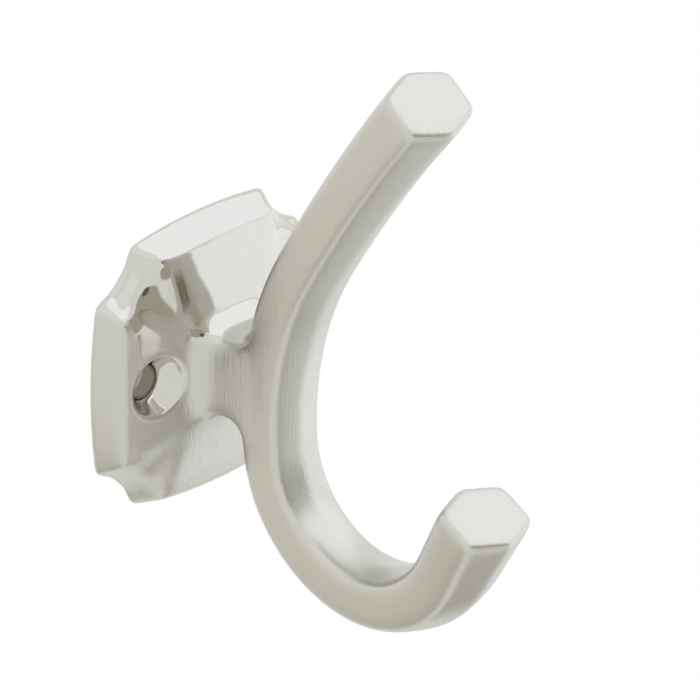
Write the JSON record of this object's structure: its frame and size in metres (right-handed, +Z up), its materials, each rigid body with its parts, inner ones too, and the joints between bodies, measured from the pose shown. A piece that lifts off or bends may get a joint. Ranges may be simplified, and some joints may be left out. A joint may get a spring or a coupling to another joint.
{
  "type": "double robe hook",
  "caption": "Wall robe hook cast in one piece: bevelled square plaque with scooped corners, short neck, and a curved hexagonal arm with a tall upper prong and a curled lower prong.",
  "frame": {"origin": "middle of the plaque on the wall, half way between the two screw holes", "axes": "+Y into the wall, so the hook stands out towards -Y; +Z up; +X to the right of someone facing the wall"},
  "size_m": [0.042, 0.0604, 0.0857],
  "materials": {
    "nickel": "satin"
  },
  "bodies": {
    "root": {"hook_casting": "nickel"}
  },
  "joints": []
}
